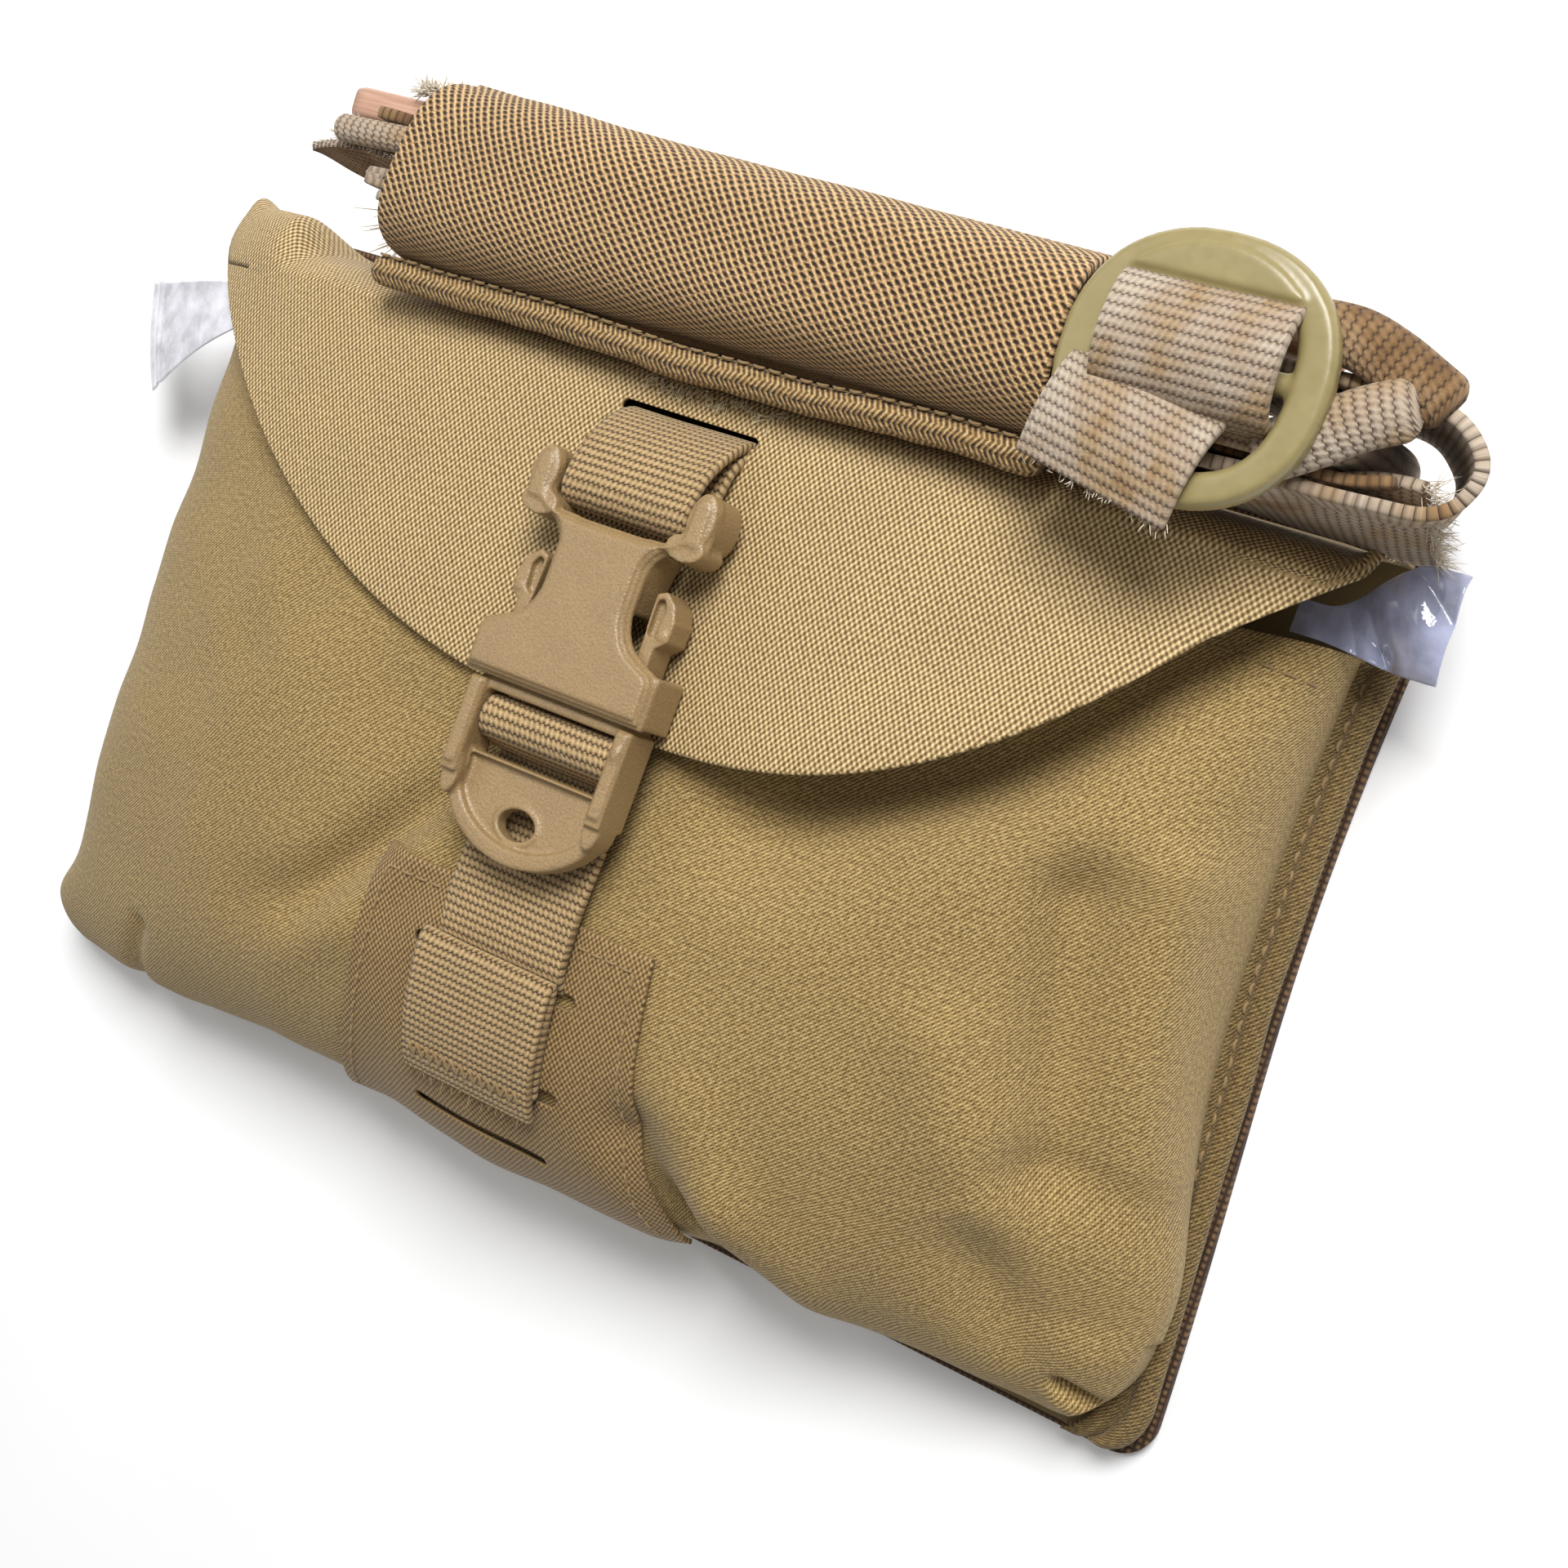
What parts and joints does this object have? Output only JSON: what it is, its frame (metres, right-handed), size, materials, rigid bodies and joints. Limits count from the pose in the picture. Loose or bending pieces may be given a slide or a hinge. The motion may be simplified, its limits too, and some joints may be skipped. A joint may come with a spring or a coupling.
{
  "type": "tourniquet",
  "caption": "Folded windlass tourniquet stowed in the elastic sleeve of a trauma pouch with a buckled flap.",
  "frame": {"origin": "centre of the rear platform's rear face, on the surface the pouch lies on", "axes": "+X across the pouch to its right, +Y from its bottom to its mouth, +Z out of its front"},
  "size_m": [0.2015, 0.1378, 0.0444],
  "materials": {
    "stretch_fabric": "matt twill",
    "laminate": "matt basket weave",
    "platform": "matt",
    "elastic": "knitted",
    "webbing": "woven",
    "camouflage_strap": "woven, mottled",
    "buckle_plastic": "moulded, fine grain",
    "ring_plastic": "moulded, satin",
    "windlass_metal": "satin, pinkish",
    "film": "clear film",
    "gauze": "matt"
  },
  "bodies": {
    "pouch": {"rear_platform": "platform", "back_panel": "laminate", "front_panel": "stretch_fabric", "side_seam_left": "stretch_fabric", "side_seam_right": "stretch_fabric", "front_patch": "laminate", "strap_lower": "webbing", "strap_stop": "webbing", "flap_spine": "laminate", "tourniquet_sleeve": "elastic", "sleeve_hem": "elastic", "pressure_dressing": "gauze", "gauze_pack": "gauze", "film_corner_right": "film", "film_tab_left": "film"},
    "flap": {"flap_front": "laminate", "flap_webbing": "webbing", "buckle_female": "buckle_plastic"},
    "buckle_plug": {"buckle_frame": "buckle_plastic", "strap_over_bar": "webbing"},
    "arm_left": {"buckle_arm_left": "buckle_plastic"},
    "arm_right": {"buckle_arm_right": "buckle_plastic"},
    "tourniquet": {"strap_fold_outer": "camouflage_strap", "strap_fold_middle": "camouflage_strap", "strap_core": "camouflage_strap", "strap_fold_upper": "camouflage_strap", "strap_fold_finger": "camouflage_strap", "strap_frayed_end": "camouflage_strap", "strap_leaf_end": "camouflage_strap", "windlass": "windlass_metal", "windlass_ribbon": "camouflage_strap", "ring_strap": "camouflage_strap", "ring_tail": "camouflage_strap"},
    "securing_ring": {"securing_ring": "ring_plastic"}
  },
  "joints": [
    {"name": "flap_hinge", "type": "hinge", "parent": "pouch", "child": "flap", "pos_m": [0, 0.0476, 0.034], "axis": [-1, 0, 0], "range_deg": [0, 95]},
    {"name": "buckle_release", "type": "slide", "parent": "pouch", "child": "buckle_plug", "axis": [0, -0.9962, 0.0872], "range_m": [0, 0.022], "deforming": ["strap_lower"]},
    {"name": "arm_left_squeeze", "type": "hinge", "parent": "buckle_plug", "child": "arm_left", "pos_m": [-0.0068, 0.01025, 0.03811], "axis": [0, -0.0872, -0.9962], "range_deg": [0, 5], "stiffness_Nm_per_rad": 0.2},
    {"name": "arm_right_squeeze", "type": "hinge", "parent": "buckle_plug", "child": "arm_right", "pos_m": [0.0116, 0.01025, 0.03811], "axis": [0, 0.0872, 0.9962], "range_deg": [0, 5], "stiffness_Nm_per_rad": 0.2},
    {"name": "tourniquet_pull", "type": "slide", "parent": "pouch", "child": "tourniquet", "axis": [1, 0, 0], "range_m": [0, 0.15]},
    {"name": "ring_tilt", "type": "hinge", "parent": "tourniquet", "child": "securing_ring", "pos_m": [0.064, 0.0653, 0.0409], "axis": [1, 0, 0], "range_deg": [0, 3.5]}
  ],
  "couplings": [
    {"joint": "arm_right_squeeze", "follows": "arm_left_squeeze", "ratio": 1}
  ]
}
